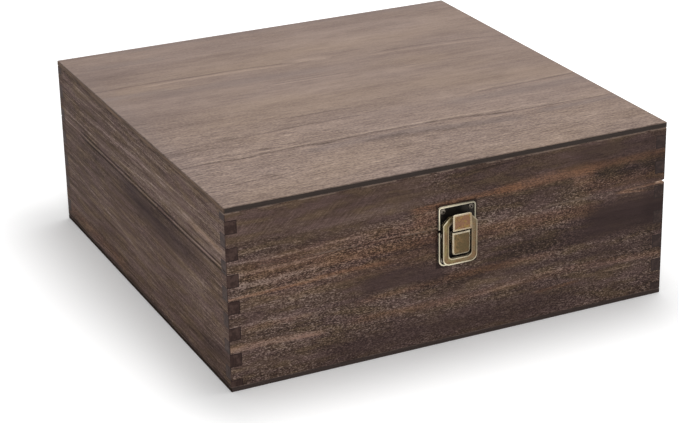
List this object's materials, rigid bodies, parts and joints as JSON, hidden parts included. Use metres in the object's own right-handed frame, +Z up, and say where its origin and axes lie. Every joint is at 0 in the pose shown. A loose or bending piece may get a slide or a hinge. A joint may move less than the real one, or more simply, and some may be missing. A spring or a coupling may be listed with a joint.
{
  "type": "memory box",
  "caption": "Low square wooden box for papers and keepsakes, finger-jointed, with a hinged lid and a draw latch on the front.",
  "frame": {"origin": "centre of the underside of the bottom panel, where the box stands on a table", "axes": "+Z up, the latch faces -Y, the hinges are on the +Y side, and +X is to the right of someone facing the latch"},
  "size_m": [0.3, 0.3135, 0.1175],
  "materials": {
    "front_wall_wood": "dark stained, satin",
    "side_wall_wood": "dark stained, satin",
    "top_panel_wood": "grey-brown stained veneer, satin",
    "bottom_panel_wood": "dark stained, matt",
    "antique_brass": "antiqued, worn bright on the edges",
    "dark_patina": "blackened"
  },
  "bodies": {
    "base": {"base_bottom_panel": "bottom_panel_wood", "base_front_wall": "front_wall_wood", "base_back_wall": "front_wall_wood", "base_left_wall": "side_wall_wood", "base_right_wall": "side_wall_wood", "latch_base_plate": "antique_brass", "latch_base_screws": "dark_patina", "latch_lever_pin": "antique_brass", "left_hinge_base_leaf": "antique_brass", "right_hinge_base_leaf": "antique_brass", "left_hinge_pin": "antique_brass", "right_hinge_pin": "antique_brass", "hinge_base_screws": "dark_patina"},
    "lid": {"lid_top_panel": "top_panel_wood", "lid_front_rail": "front_wall_wood", "lid_back_rail": "front_wall_wood", "lid_left_rail": "side_wall_wood", "lid_right_rail": "side_wall_wood", "latch_hook_plate": "antique_brass", "latch_hook_screws": "dark_patina", "left_hinge_lid_leaf": "antique_brass", "right_hinge_lid_leaf": "antique_brass", "hinge_lid_screws": "dark_patina"},
    "latch_lever": {"latch_lever": "antique_brass"},
    "latch_loop": {"latch_loop": "antique_brass", "latch_loop_pin": "antique_brass"}
  },
  "joints": [
    {"name": "lid_hinge", "type": "hinge", "parent": "base", "child": "lid", "pos_m": [0, 0.1527, 0.0773], "axis": [-1, 0, 0], "range_deg": [0, 105]},
    {"name": "lever_pivot", "type": "hinge", "parent": "base", "child": "latch_lever", "pos_m": [0, -0.1542, 0.0726], "axis": [-1, 0, 0], "range_deg": [0, 95]},
    {"name": "loop_pivot", "type": "hinge", "parent": "latch_lever", "child": "latch_loop", "pos_m": [0, -0.154, 0.07081], "axis": [-1, 0, 0], "range_deg": [-95, 0]}
  ],
  "couplings": [
    {"joint": "loop_pivot", "follows": "lever_pivot", "ratio": -1}
  ]
}
